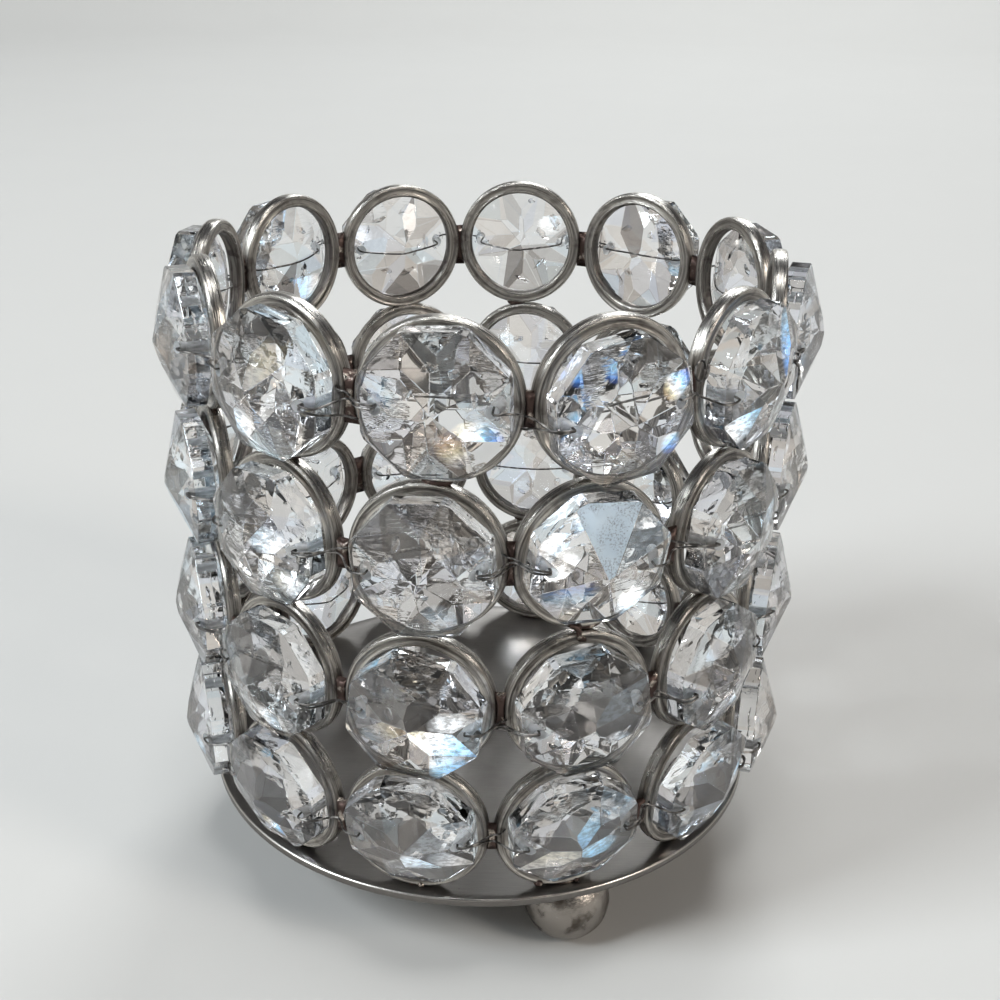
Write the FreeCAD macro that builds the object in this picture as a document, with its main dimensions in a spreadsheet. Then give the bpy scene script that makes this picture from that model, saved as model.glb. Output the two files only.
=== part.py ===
import FreeCAD, Part
import math
import os
import Sketcher

# Crystal bead candle holder: four rows of twelve wire rings stand on a round sheet plate with three ball feet.
# Each ring carries a cut glass bead with two holes, and one thin wire per row ties the beads to the rings.
# Millimetres, +Z up, -Y to the front. The origin is the middle of the circle of feet, on the ground.

LENGTHS = [
    # rings
    ("ring_across", 16.0),
    ("ring_wire", 1.5),
    ("ring_width", 1.7),
    ("side_gap", 0.8),
    ("solder_inset", 0.1),
    ("solder_tall", 5.0),
    # beads
    ("bead_inset", 1.0),
    ("bead_girdle", 2.2),
    ("bead_crown", 2.6),
    ("bead_star", 3.4),
    ("bead_hole", 1.2),
    ("bead_hole_rim", 1.7),
    ("bead_seat_gap", 0.05),
    # tie wires
    ("tie_wire", 0.3),
    ("tie_rise", 0.4),
    # plate and feet
    ("plate_thick", 1.0),
    ("plate_ledge", 1.4),
    ("foot_across", 9.8),
    ("foot_tall", 9.0),
    ("foot_sole", 2.6),
    ("foot_top", 6.4),
    ("foot_shoulder", 8.0),
    ("foot_shoulder_tall", 1.2),
    ("foot_cheek_tall", 3.1),
    ("foot_inset", 0.7),
    # how far a cutting tool runs past what it cuts
    ("overrun", 2.0),
]
COUNTS_AND_TURNS = [
    ("rings_per_row", 12),
    ("row_count", 4),
    ("foot_count", 3),
    ("bead_sides", 8),
    ("first_turn", -7.5),
    ("row_turn", -1.6),
    ("foot_turn", 22.0),
]
# What follows from the sizes above. A row is built round the upright axis with its ring centres at height zero.
DERIVED = [
    ("half_step", "180 / rings_per_row"),
    ("wall_radius", "(ring_across + side_gap) / 2 / tan(half_step)"),
    ("ring_inside", "ring_across - 2 * ring_wire"),
    ("ring_face", "ring_width / 2"),
    ("bead_across", "ring_across - 2 * bead_inset"),
    ("bead_hole_offset", "bead_across / 2 - bead_hole_rim"),
    ("bead_half_side", "180 / bead_sides"),
    ("bead_corner", "bead_across / 2 / cos(bead_half_side)"),
    ("crown_slope", "bead_crown / bead_corner"),
    ("bead_back", "ring_face + bead_seat_gap + (bead_corner - ring_inside / 2) * crown_slope"),
    ("bead_front", "bead_back + bead_girdle"),
    ("star_rise", "bead_crown - bead_star * cos(bead_half_side) * crown_slope"),
    ("rim_slope", "star_rise / (bead_across / 2 - bead_star)"),
    ("mouth_rise", "(bead_across / 2 - bead_hole_offset) * rim_slope"),
    ("solder_face", "ring_face - solder_inset"),
    ("plate_radius", "wall_radius + ring_face + plate_ledge"),
    ("plate_top", "foot_tall + plate_thick"),
    ("foot_circle", "plate_radius - foot_inset - foot_across / 2"),
]

# A round wire, hole or ball is drawn with this many flat sides.
RING_SIDES = 16
HOLE_SIDES = 6
FOOT_SIDES = 12

doc = FreeCAD.newDocument("CrystalBeadCandleHolder")


def fill_sheet():
    sheet = doc.addObject("Spreadsheet::Sheet", "sizes")
    for row, (name, value) in enumerate(LENGTHS + COUNTS_AND_TURNS, start=1):
        sheet.set(f"A{row}", name)
        sheet.set(f"B{row}", str(value))
        sheet.setAlias(f"B{row}", name)
    first = len(LENGTHS) + len(COUNTS_AND_TURNS) + 1
    for row, (name, formula) in enumerate(DERIVED, start=first):
        sheet.set(f"A{row}", name)
        sheet.set(f"B{row}", f"={formula}")
        sheet.setAlias(f"B{row}", name)
    doc.recompute()
    return sheet


sizes = fill_sheet()


def size(name):
    return float(sizes.get(name))


def cell(formula):
    """The formula with each of its words looked up in the sheet."""
    words = [name for name, _ in LENGTHS + COUNTS_AND_TURNS + DERIVED]
    out, word = "", ""
    for letter in formula + " ":
        if letter.isalnum() or letter == "_":
            word += letter
            continue
        out += f"sizes.{word}" if word in words else word
        out += letter
        word = ""
    return out.strip()


def new_body(name):
    return doc.addObject("PartDesign::Body", name)


def origin_feature(body, role):
    return next(f for f in body.Origin.OriginFeatures if f.Role == role)


def sketch_on(body, name, role, turn=None, lift=None):
    """A sketch on one of the body's origin planes, turned in that plane's own frame and lifted off it."""
    sketch = body.newObject("Sketcher::SketchObject", name)
    sketch.AttachmentSupport = [(origin_feature(body, role), "")]
    sketch.MapMode = "FlatFace"
    sketch.AttachmentOffset = FreeCAD.Placement(FreeCAD.Vector(), turn or FreeCAD.Rotation())
    if lift:
        sketch.setExpression("AttachmentOffset.Base.z", cell(lift))
    return sketch


def draw_outline(sketch, points):
    """A closed outline. Each point is a pair of formulas, bound as its distances from the sketch's origin."""
    places = [(value_of(x), value_of(y)) for x, y in points]
    count = len(places)
    first = sketch.GeometryCount
    for i, (x, y) in enumerate(places):
        x_next, y_next = places[(i + 1) % count]
        sketch.addGeometry(Part.LineSegment(FreeCAD.Vector(x, y, 0), FreeCAD.Vector(x_next, y_next, 0)))
    for i in range(count):
        follower = first + (i + 1) % count
        sketch.addConstraint(Sketcher.Constraint("Coincident", first + i, 2, follower, 1))
    for i, (x, y) in enumerate(points):
        bind_distance(sketch, "DistanceX", first + i, x)
        bind_distance(sketch, "DistanceY", first + i, y)


def bind_distance(sketch, kind, line, formula):
    index = sketch.addConstraint(Sketcher.Constraint(kind, -1, 1, line, 1, value_of(formula)))
    sketch.setExpression(f"Constraints[{index}]", cell(formula))


def value_of(formula):
    """The formula's value now, worked out by the sheet itself in a spare cell."""
    sizes.set("D1", f"={formula}")
    sizes.recompute()
    value = float(sizes.get("D1"))
    sizes.clear("D1")
    return value


def polygon_points(sides, across, turn=0.0, middle="0"):
    """The corners of a regular polygon of a stated size across its flats, with the first one at an angle."""
    corner = f"{across} / 2 / cos({180 / sides})"
    angles = [turn + 360 * i / sides for i in range(sides)]
    return [(f"{middle} + {corner} * cos({a})", f"{corner} * sin({a})") for a in angles]


def pad(body, sketch, length, both_ways=False):
    feature = body.newObject("PartDesign::Pad", sketch.Name + "_pad")
    feature.Profile = sketch
    feature.SideType = "Symmetric" if both_ways else "One side"
    feature.setExpression("Length", cell(length))
    return feature


def cut_through(body, sketch):
    """A cut that runs right through on both sides of its sketch."""
    feature = body.newObject("PartDesign::Pocket", sketch.Name + "_cut")
    feature.Profile = sketch
    feature.Type = "ThroughAll"
    feature.SideType = "Symmetric"
    return feature


def repeat_round(body, feature, role, count):
    pattern = body.newObject("PartDesign::PolarPattern", feature.Name + "_round")
    pattern.Originals = [feature]
    pattern.Axis = (origin_feature(body, role), [""])
    pattern.Angle = 360
    pattern.setExpression("Occurrences", cell(count))
    body.Tip = pattern
    return pattern


def make_ring_row():
    """Twelve upright rings in a circle, each a band with flats where it meets the next ring, row and the plate."""
    body = new_body("ring_row")
    sketch = sketch_on(body, "ring_outline", "XZ_Plane", lift="wall_radius")
    half_side = 180 / RING_SIDES
    draw_outline(sketch, polygon_points(RING_SIDES, "ring_across", half_side))
    draw_outline(sketch, polygon_points(RING_SIDES, "ring_inside", half_side))
    band = pad(body, sketch, "ring_width", both_ways=True)
    doc.recompute()
    repeat_round(body, band, "Z_Axis", "rings_per_row")
    return body


def make_solder_row():
    """The wedges of solder between neighbouring rings of one row."""
    body = new_body("solder_row")
    half_step = FreeCAD.Rotation(FreeCAD.Vector(0, 0, 1), size("half_step"))
    sketch = sketch_on(body, "wedge_outline", "XY_Plane", turn=half_step)
    sketch.setExpression("AttachmentOffset.Rotation.Angle", cell("half_step"))
    side, lean = "ring_across / 2", "half_step"
    outline = []
    for reach in ("(wall_radius - solder_face)", "(wall_radius + solder_face)"):
        width = f"({reach} * sin({lean}) - {side} * cos({lean}))"
        depth = f"({side} * sin({lean}) + {reach} * cos({lean}))"
        outline.append((width, depth))
    (narrow, near), (wide, far) = outline
    draw_outline(
        sketch,
        [(f"-{narrow}", f"-{near}"), (narrow, f"-{near}"), (wide, f"-{far}"), (f"-{wide}", f"-{far}")],
    )
    wedge = pad(body, sketch, "solder_tall", both_ways=True)
    doc.recompute()
    repeat_round(body, wedge, "Z_Axis", "rings_per_row")
    return body


def cut_facets(body, name, turn, edge, edge_rise, inner, inner_rise):
    """One flat cut on the front and one on the back, each through two points given as formulas.

    A point is its distance from the bead's axis and its rise over the girdle's edge on that side."""
    about_axis = FreeCAD.Rotation(FreeCAD.Vector(1, 0, 0), turn)
    sketch = sketch_on(body, name, "YZ_Plane", turn=about_axis)
    slope = f"(({inner_rise}) - ({edge_rise})) / (({edge}) - ({inner}))"
    # the cut's plane is followed out past the rim and in past the axis, and the waste beyond it is one triangle
    low = f"({edge_rise}) - overrun * {slope}"
    high = f"({edge_rise}) + ({edge}) * {slope}"
    far = f"({edge}) + overrun"
    front, back = "-(wall_radius + bead_front + ({}))", "-(wall_radius + bead_back - ({}))"
    for side in (front, back):
        draw_outline(
            sketch,
            [(side.format(low), far), (side.format(high), "0"), (side.format(f"{high} + overrun"), "0"),
             (side.format(f"{high} + overrun"), far)],
        )
    facet = cut_through(body, sketch)
    doc.recompute()
    return facet


def make_bead():
    """One bead, cut as a glass cutter would: an eight-sided blank, then facets turned round its axis."""
    body = new_body("bead")
    sides, half_side = int(size("bead_sides")), size("bead_half_side")
    blank = sketch_on(body, "bead_blank", "XZ_Plane", lift="wall_radius + (bead_front + bead_back) / 2")
    draw_outline(blank, polygon_points(sides, "bead_across", half_side))
    pad(body, blank, "bead_girdle + 2 * bead_crown", both_ways=True)
    doc.recompute()
    kite = cut_facets(body, "kite_facet", half_side, "bead_corner", "0", "0", "bead_crown")
    repeat_round(body, kite, "Y_Axis", "bead_sides")
    doc.recompute()
    rim = cut_facets(body, "rim_facet", 0.0, "bead_across / 2", "0", "bead_star", "star_rise")
    repeat_round(body, rim, "Y_Axis", "bead_sides")
    doc.recompute()
    holes = sketch_on(body, "tie_holes", "XZ_Plane")
    for side in ("bead_hole_offset", "-bead_hole_offset"):
        draw_outline(holes, polygon_points(HOLE_SIDES, "bead_hole", middle=side))
    body.Tip = cut_through(body, holes)
    return body


def make_tie_loop():
    """One row's wire, a closed zigzag at mid height.

    It leaves a bead by one hole, bridges the solder to the next bead, goes in by that bead's near hole, runs
    straight across behind the bead's point and comes out again by the far hole."""
    front = size("wall_radius") + size("bead_front") + size("mouth_rise") + size("tie_rise")
    back = size("wall_radius") + size("bead_back") - size("bead_crown") - size("tie_rise")
    side = size("bead_hole_offset")
    stops = [(-side, front), (-side, back), (side, back), (side, front)]
    count = int(size("rings_per_row"))
    path = []
    for k in range(count):
        turn = math.radians(360 * k / count)
        for across, out in stops:
            x = across * math.cos(turn) + out * math.sin(turn)
            y = across * math.sin(turn) - out * math.cos(turn)
            path.append(FreeCAD.Vector(x, y, 0))
    half = size("tie_wire") / 2
    outer = Part.Face(Part.makePolygon(beside(path, half)))
    inner = Part.Face(Part.makePolygon(beside(path, -half)))
    ribbon = outer.cut(inner)
    ribbon.translate(FreeCAD.Vector(0, 0, -half))
    loop = doc.addObject("Part::Feature", "tie_loop")
    loop.Shape = ribbon.extrude(FreeCAD.Vector(0, 0, 2 * half))
    return loop


def beside(path, shift):
    """The closed path moved sideways by a distance, with its corners mitred."""
    moved = []
    for before, here, after in zip(path[-1:] + path[:-1], path, path[1:] + path[:1]):
        came = (here - before).normalize()
        goes = (after - here).normalize()
        normal = FreeCAD.Vector(came.y + goes.y, -came.x - goes.x, 0).normalize()
        square = FreeCAD.Vector(came.y, -came.x, 0)
        moved.append(here + normal * (shift / normal.dot(square)))
    return moved + moved[:1]


def make_plate():
    body = new_body("base_plate")
    outline = sketch_on(body, "plate_outline", "XY_Plane", lift="foot_tall")
    outline.addGeometry(Part.Circle(FreeCAD.Vector(), FreeCAD.Vector(0, 0, 1), size("plate_radius")))
    outline.addConstraint(Sketcher.Constraint("Coincident", 0, 3, -1, 1))
    radius = outline.addConstraint(Sketcher.Constraint("Radius", 0, size("plate_radius")))
    outline.setExpression(f"Constraints[{radius}]", cell("plate_radius"))
    pad(body, outline, "plate_thick")
    return body


def make_foot():
    """A ball foot with a flat crown soldered to the plate and a small flat sole, drawn with twelve sides."""
    body = new_body("foot")
    outline = sketch_on(body, "foot_outline", "XY_Plane")
    draw_outline(outline, polygon_points(FOOT_SIDES, "foot_across", 180 / FOOT_SIDES))
    pad(body, outline, "foot_tall")
    doc.recompute()
    profile = sketch_on(body, "foot_profile", "XZ_Plane")
    edge = "foot_across / 2"
    past = f"{edge} + overrun"
    below = [("foot_sole / 2", "-overrun"), ("foot_sole / 2", "0"), ("foot_shoulder / 2", "foot_shoulder_tall"),
             (edge, "foot_cheek_tall"), (past, "foot_cheek_tall"), (past, "-overrun")]
    above = [("foot_top / 2", "foot_tall + overrun"), ("foot_top / 2", "foot_tall"),
             (edge, "foot_tall - foot_cheek_tall"), (past, "foot_tall - foot_cheek_tall"),
             (past, "foot_tall + overrun")]
    for outline_points in (below, above):
        draw_outline(profile, outline_points)
    round_off = cut_through(body, profile)
    doc.recompute()
    repeat_round(body, round_off, "Z_Axis", str(FOOT_SIDES))
    return body


def placed_copy(name, source, turn, height, offset=None):
    """A copy of a piece, turned about the upright axis and raised. Both are formulas."""
    copy = doc.addObject("Part::Compound", name)
    copy.Links = [source]
    upright = FreeCAD.Rotation(FreeCAD.Vector(0, 0, 1), value_of(turn))
    copy.Placement = FreeCAD.Placement(FreeCAD.Vector(), upright)
    copy.setExpression("Placement.Rotation.Angle", cell(turn))
    copy.setExpression("Placement.Base.z", cell(height))
    for axis, formula in (offset or {}).items():
        copy.setExpression(f"Placement.Base.{axis}", cell(formula))
    copy.Label = name
    return copy


def row_turn(row):
    return f"first_turn + row_turn * {row - 1}"


def row_height(row):
    return f"plate_top + ring_across * (row_count - {row} + 0.5)"


def gather(name, pieces):
    group = doc.addObject("Part::Compound", name)
    group.Links = pieces
    group.Label = name
    return group


def build():
    ring_row = make_ring_row()
    solder_row = make_solder_row()
    bead = make_bead()
    tie_loop = make_tie_loop()
    foot = make_foot()
    parts = [make_plate()]
    solder, ties = [], []
    for row in range(1, int(size("row_count")) + 1):
        turn, height = row_turn(row), row_height(row)
        parts.append(placed_copy(f"ring_row_{row}", ring_row, turn, height))
        solder.append(placed_copy(f"solder_of_row_{row}", solder_row, turn, height))
        ties.append(placed_copy(f"tie_of_row_{row}", tie_loop, turn, height))
        for column in range(1, int(size("rings_per_row")) + 1):
            bead_turn = f"{turn} + 2 * half_step * {column - 1}"
            parts.append(placed_copy(f"bead_row{row}_col{column:02d}", bead, bead_turn, height))
    parts.append(gather("solder_joints", solder))
    parts.append(gather("tie_wires", ties))
    for i, name in enumerate(("foot_front", "foot_rear_right", "foot_rear_left")[: int(size("foot_count"))]):
        angle = f"(foot_turn + 360 / foot_count * {i})"
        offset = {"x": f"foot_circle * sin({angle})", "y": f"-foot_circle * cos({angle})"}
        parts.append(placed_copy(name, foot, angle, "0", offset))
    doc.recompute()
    return parts


def check_document():
    for item in doc.Objects:
        bad = [state for state in item.State if state in ("Invalid", "Error")]
        if bad:
            raise RuntimeError(f"{item.Name} is {bad}")


def export(parts):
    os.makedirs("parts", exist_ok=True)
    for part in parts:
        shape = part.Shape
        if shape.isNull() or not shape.isValid():
            raise RuntimeError(f"{part.Label} has no valid shape")
        shape.exportStep(f"parts/{part.Label}.step")
    print(len(parts), "parts,", sum(len(part.Shape.Solids) for part in parts), "solids")


finished = build()
check_document()
export(finished)
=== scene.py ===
import math
import random

import bmesh
import bpy
from mathutils import Matrix, Vector, noise


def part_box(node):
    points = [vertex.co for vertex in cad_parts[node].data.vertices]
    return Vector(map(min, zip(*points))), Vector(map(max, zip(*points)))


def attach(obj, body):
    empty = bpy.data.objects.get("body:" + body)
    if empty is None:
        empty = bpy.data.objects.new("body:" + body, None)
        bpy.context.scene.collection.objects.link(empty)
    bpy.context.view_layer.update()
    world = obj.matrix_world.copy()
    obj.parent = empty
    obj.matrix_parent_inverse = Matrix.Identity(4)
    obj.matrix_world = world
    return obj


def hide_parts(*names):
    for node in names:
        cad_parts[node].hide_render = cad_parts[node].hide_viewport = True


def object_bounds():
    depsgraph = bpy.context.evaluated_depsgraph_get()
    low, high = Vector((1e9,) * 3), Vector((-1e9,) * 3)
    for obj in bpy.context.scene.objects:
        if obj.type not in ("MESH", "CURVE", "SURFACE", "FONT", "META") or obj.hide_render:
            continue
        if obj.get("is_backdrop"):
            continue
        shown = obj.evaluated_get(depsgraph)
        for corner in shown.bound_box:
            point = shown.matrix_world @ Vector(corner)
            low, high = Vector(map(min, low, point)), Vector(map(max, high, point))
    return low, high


# Crystal bead candle holder: four rows of wire rings with wired-in glass beads on a sheet plate with ball feet.
# Metres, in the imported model's frame. Sizes that are easier to read in millimetres are given as a number times MM.

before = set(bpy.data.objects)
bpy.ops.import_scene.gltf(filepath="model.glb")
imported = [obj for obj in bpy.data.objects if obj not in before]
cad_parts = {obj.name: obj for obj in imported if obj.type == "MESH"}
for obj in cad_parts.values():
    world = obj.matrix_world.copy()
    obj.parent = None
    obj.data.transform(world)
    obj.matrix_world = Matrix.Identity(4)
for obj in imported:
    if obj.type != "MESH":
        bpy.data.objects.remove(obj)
cad_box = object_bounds()
MM = 0.001

# ---- sizes

ROWS, COLUMNS = 4, 12
# Degrees round the wall: the first ring, and the steps from row to row and from column to column.
FIRST_TURN, ROW_TURN, COLUMN_TURN = -7.5, -1.6, 30.0
RING_ACROSS = 16.0 * MM
WALL_RADIUS = 31.349 * MM
RING_THICK, RING_DEEP = 1.5 * MM, 1.7 * MM
# A bead's width, its straight girdle, the height of a face over it, how far from its axis the short facets end, and
# how far outside the ring's middle its girdle's back stands.
BEAD_ACROSS = 13.9 * MM
BEAD_GIRDLE = 2.2 * MM
BEAD_CROWN = 2.5 * MM
BEAD_STAR = 3.4 * MM
BEAD_BACK = 1.27 * MM
HOLE_OFFSET, HOLE_RADIUS = 5.3 * MM, 0.62 * MM
TIE_RADIUS = 0.115 * MM
RING_RADIUS = RING_ACROSS / 2
HALF_COLUMN = math.radians(COLUMN_TURN / 2)
HALF_GIRDLE = BEAD_GIRDLE / 2
HOLE_MOUTH = HALF_GIRDLE + 0.65 * MM
JOINT_OUT = WALL_RADIUS / math.cos(HALF_COLUMN) - WALL_RADIUS
JOINT_GAP = WALL_RADIUS * math.tan(HALF_COLUMN) - RING_RADIUS
PLATE_LOW, PLATE_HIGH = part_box("base_plate")
PLATE_TOP = PLATE_HIGH.z
PLATE_RADIUS = (PLATE_HIGH.x - PLATE_LOW.x) / 2
# Two points that are nearer than this are one.
TOUCH = 0.001 * MM
UP = Vector((0, 0, 1))

# How far hand-soldered rings stand from their even places: turned round the wall in degrees, raised in millimetres.
NUDGES = {
    (1, 1): (0.5, 0.0), (1, 2): (-0.3, 0.0), (1, 3): (-1.1, 0.0), (1, 12): (1.0, 0.0), (1, 5): (-0.6, 0.0),
    (1, 6): (0.7, 0.0), (1, 7): (0.8, 0.0), (1, 8): (0.0, -0.4), (2, 1): (0.1, 0.0), (2, 2): (-1.3, 0.1),
    (2, 3): (-0.7, -0.4), (2, 12): (0.0, -0.1), (3, 1): (0.2, -0.4), (3, 2): (-0.5, -0.3), (3, 3): (-0.8, -0.3),
    (3, 12): (0.5, -0.4), (4, 1): (0.8, 0.0), (4, 2): (0.2, 0.0), (4, 3): (0.5, 0.0), (4, 12): (1.3, 0.0),
}


def heading(turn):
    return Vector((math.cos(turn), math.sin(turn), 0))


def row_height(row):
    return PLATE_TOP + RING_ACROSS * (ROWS - row + 0.5)


def nudge(row, column):
    """The nudge of a ring, or of the joint between two rings for a column and a half."""
    nearest = [(math.floor(column + half) - 1) % COLUMNS + 1 for half in (0, 0.5)]
    first, second = (NUDGES.get((row, neighbour), (0, 0)) for neighbour in nearest)
    return (first[0] + second[0]) / 2, (first[1] + second[1]) / 2


def place(row, column, outward=0.0):
    """The frame of one ring: its own X runs sideways, Y up the wall and Z out of the holder."""
    turned, raised = nudge(row, column)
    turn = math.radians(FIRST_TURN + ROW_TURN * (row - 1) + COLUMN_TURN * (column - 1) + turned)
    out = Vector((math.sin(turn), -math.cos(turn), 0))
    grid = Matrix((heading(turn), UP, out)).transposed().to_4x4()
    grid.translation = out * (WALL_RADIUS + outward) + UP * (row_height(row) + raised * MM)
    return grid


def every_ring():
    return [(row, column) for row in range(1, ROWS + 1) for column in range(1, COLUMNS + 1)]


# ---- shader arithmetic


class Socket:
    """A number output of a node that takes part in plain arithmetic."""

    def __init__(self, finish, output):
        self.finish = finish
        self.output = output

    def _math(self, operation, *values):
        return self.finish.number("ShaderNodeMath", {"operation": operation}, *values)

    def __add__(self, other):
        return self._math("ADD", self, other)

    def __radd__(self, other):
        return self._math("ADD", other, self)

    def __sub__(self, other):
        return self._math("SUBTRACT", self, other)

    def __rsub__(self, other):
        return self._math("SUBTRACT", other, self)

    def __mul__(self, other):
        return self._math("MULTIPLY", self, other)

    def __rmul__(self, other):
        return self._math("MULTIPLY", other, self)

    def at_most(self, other):
        return self._math("MINIMUM", self, other)

    def at_least(self, other):
        return self._math("MAXIMUM", self, other)

    def between(self, low, high):
        """0 below low, 1 above high and a smooth rise between them."""
        settings = {"interpolation_type": "SMOOTHSTEP"}
        return self.finish.number("ShaderNodeMapRange", settings, Value=self, **{"From Min": low, "From Max": high})


class Finish:
    """One material, made of nodes round a Principled shader."""

    def __init__(self, name, **constants):
        self.material = bpy.data.materials.new(name)
        self.material.use_nodes = True
        self.tree = self.material.node_tree
        self.shader = next(n for n in self.tree.nodes if n.type == "BSDF_PRINCIPLED")
        for label, value in constants.items():
            self.shader.inputs[label.replace("_", " ")].default_value = value

    def node(self, kind, settings, *values, **named):
        node = self.tree.nodes.new(kind)
        for label, value in settings.items():
            if label == "stops":
                self._set_stops(node.color_ramp, value)
            else:
                setattr(node, label, value)
        for i, value in enumerate(values):
            self.feed(node.inputs[i], value)
        for label, value in named.items():
            self.feed(node.inputs[label], value)
        return node

    def _set_stops(self, ramp, stops):
        while len(ramp.elements) < len(stops):
            ramp.elements.new(0.5)
        for element, (position, colour) in zip(ramp.elements, stops):
            element.position = position
            element.color = (*colour, 1.0)

    def feed(self, socket, value):
        if isinstance(value, Socket):
            self.tree.links.new(value.output, socket)
        elif isinstance(value, bpy.types.NodeSocket):
            self.tree.links.new(value, socket)
        elif isinstance(value, tuple) and len(value) == 3 and socket.type == "RGBA":
            socket.default_value = (*value, 1.0)
        else:
            socket.default_value = value

    def number(self, kind, settings, *values, **named):
        node = self.node(kind, settings, *values, **named)
        return Socket(self, node.outputs["Result" if kind == "ShaderNodeMapRange" else 0])

    def spot(self):
        """The place on the holder, in millimetres."""
        where = self.node("ShaderNodeTexCoord", {})
        scaled = self.node("ShaderNodeVectorMath", {"operation": "SCALE"}, where.outputs["Object"], Scale=1 / MM)
        return scaled.outputs["Vector"]

    def stretched(self, vector, x, y, z):
        return self.node("ShaderNodeVectorMath", {"operation": "MULTIPLY"}, vector, (x, y, z)).outputs["Vector"]

    def speckle(self, vector, size, detail=3.0, rough=0.55):
        """Even noise from 0 to 1. Its patches are about the stated size in millimetres."""
        named = {"Vector": vector, "Scale": 1 / size, "Detail": detail, "Roughness": rough}
        return self.number("ShaderNodeTexNoise", {}, **named)

    def layer(self, name):
        """A colour that the mesh carries."""
        return self.node("ShaderNodeVertexColor", {"layer_name": name}).outputs["Color"]

    def amount(self, name):
        """A number that the mesh carries."""
        node = self.node("ShaderNodeAttribute", {"attribute_name": name})
        return Socket(self, node.outputs["Fac"])

    def blend(self, share, first, second):
        """A colour between two others. The sockets are the Mix node's factor, its two colours and its result."""
        node = self.node("ShaderNodeMix", {"data_type": "RGBA"})
        for i, value in ((0, share), (6, first), (7, second)):
            self.feed(node.inputs[i], value)
        return node.outputs[2]

    def bump(self, height, strength, reach):
        """The normal of a surface whose height runs from 0 to 1, with a stated reach in millimetres."""
        named = {"Strength": strength, "Distance": reach * MM, "Height": height}
        return self.node("ShaderNodeBump", {}, **named).outputs["Normal"]

    def wear(self, **links):
        for label, value in links.items():
            self.feed(self.shader.inputs[label.replace("_", " ")], value)
        return self.material


# ---- finishes


# The colours of the painted flashes, as a facet would split light, from violet to red.
SPECTRUM = [
    (0.00, (0.20, 0.16, 0.80)),
    (0.20, (0.10, 0.36, 1.00)),
    (0.38, (0.36, 0.72, 1.00)),
    (0.54, (1.00, 1.00, 1.00)),
    (0.68, (1.00, 0.90, 0.58)),
    (0.84, (0.85, 0.48, 0.17)),
    (1.00, (0.45, 0.17, 0.10)),
]


def clear_glass():
    """Cut glass: clear, with a tint per facet that partly paints in reflected surroundings, pulled striations, and
    small colour flashes painted on as emission: painted light.
    """
    finish = Finish("clear_cut_glass", IOR=1.54, Transmission_Weight=1.0, Emission_Strength=1.0)
    spot = finish.spot()
    pulled = finish.speckle(finish.stretched(spot, 1.0, 1.0, 6.0), 2.0, 2.0)
    where = finish.speckle(spot, 3.6, 1.0).between(0.52, 0.66)
    cloudy = finish.speckle(spot, 2.4, 4.0).between(0.62, 0.76)
    along, beside = finish.amount("flash_along"), finish.amount("flash_beside")
    soft = (1.0 - along * along - beside * beside).at_least(0.0)
    streaks = finish.speckle(finish.stretched(spot, 1.0, 1.0, 2.2), 0.8, 4.0, 0.65)
    broken = 0.40 + 0.60 * streaks.between(0.40, 0.58)
    hue = finish.node("ShaderNodeValToRGB", {"stops": SPECTRUM}, finish.amount("flash_hue")).outputs["Color"]
    power = soft * broken * finish.amount("flash_power")
    painted_glow = finish.node("ShaderNodeVectorMath", {"operation": "SCALE"}, hue, Scale=power).outputs["Vector"]
    return finish.wear(
        # The tint carries random tints, painted reflection and the painted dark facets.
        Base_Color=finish.layer("tint"),
        # Painted light: the emission draws the colour flashes, a glow on facets that are no lamp.
        Emission_Color=painted_glow,
        Roughness=0.008 + cloudy * 0.02,
        Normal=finish.bump(pulled * where, 0.24, 0.25),
    )


def frosted_hole():
    """The ground wall of a bead's hole."""
    finish = Finish("ground_hole_wall", IOR=1.5, Transmission_Weight=0.75)
    grain = finish.speckle(finish.spot(), 0.12, 2.0)
    colour = finish.blend(grain, (0.62, 0.65, 0.68), (0.93, 0.95, 0.97))
    return finish.wear(Base_Color=colour, Roughness=0.45 + grain * 0.3, Normal=finish.bump(grain, 0.5, 0.08))


def milky_facet():
    """A facet left unpolished: pale blue and even, with dark specks in patches."""
    finish = Finish("unpolished_facet", IOR=1.5, Transmission_Weight=0.35)
    spot = finish.spot()
    specks = finish.speckle(spot, 0.20, 3.0, 0.7).between(0.48, 0.62)
    where = finish.speckle(spot, 2.2, 2.0).between(0.40, 0.54)
    milk = finish.blend(finish.speckle(spot, 1.8, 3.0), (0.54, 0.68, 0.82), (0.76, 0.87, 0.95))
    return finish.wear(
        Base_Color=finish.blend(specks * where * 0.7, milk, (0.16, 0.18, 0.23)),
        Roughness=0.42 + specks * 0.2,
        Normal=finish.bump(specks * where, 0.4, 0.06),
    )


def drawn_wire():
    """Nickel-plated wire: dark, with bright lines drawn along it, brown tarnish in patches and by the solder, and
    painted shade on the inner side of the rings and in their grooves.
    """
    finish = Finish("drawn_nickel_wire", Metallic=1.0)
    uv = finish.node("ShaderNodeUVMap", {"uv_map": "along"}).outputs["UV"]
    lines = finish.speckle(finish.stretched(uv, 7.0, 26.0, 1.0), 1.0, 3.0, 0.7).between(0.36, 0.64)
    fine = finish.speckle(finish.stretched(uv, 14.0, 40.0, 1.0), 1.0, 2.0, 0.6)
    patches = finish.speckle(finish.spot(), 1.7, 3.0, 0.6)
    # Tarnish near the solder and in patches; painted shade on the rings' inner side and grooves.
    brown = (finish.amount("hollow") + patches.between(0.50, 0.72) * 0.45).at_most(1.0)
    bright = finish.blend(lines, (0.20, 0.185, 0.17), (0.66, 0.62, 0.56))
    colour = finish.blend(brown * 0.85, bright, (0.055, 0.042, 0.037))
    return finish.wear(
        Base_Color=colour,
        Roughness=0.20 + fine * 0.14 + brown * 0.18,
        Normal=finish.bump(lines * 0.55 + fine * 0.2 + patches * 0.25, 0.6, 0.06),
    )


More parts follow.
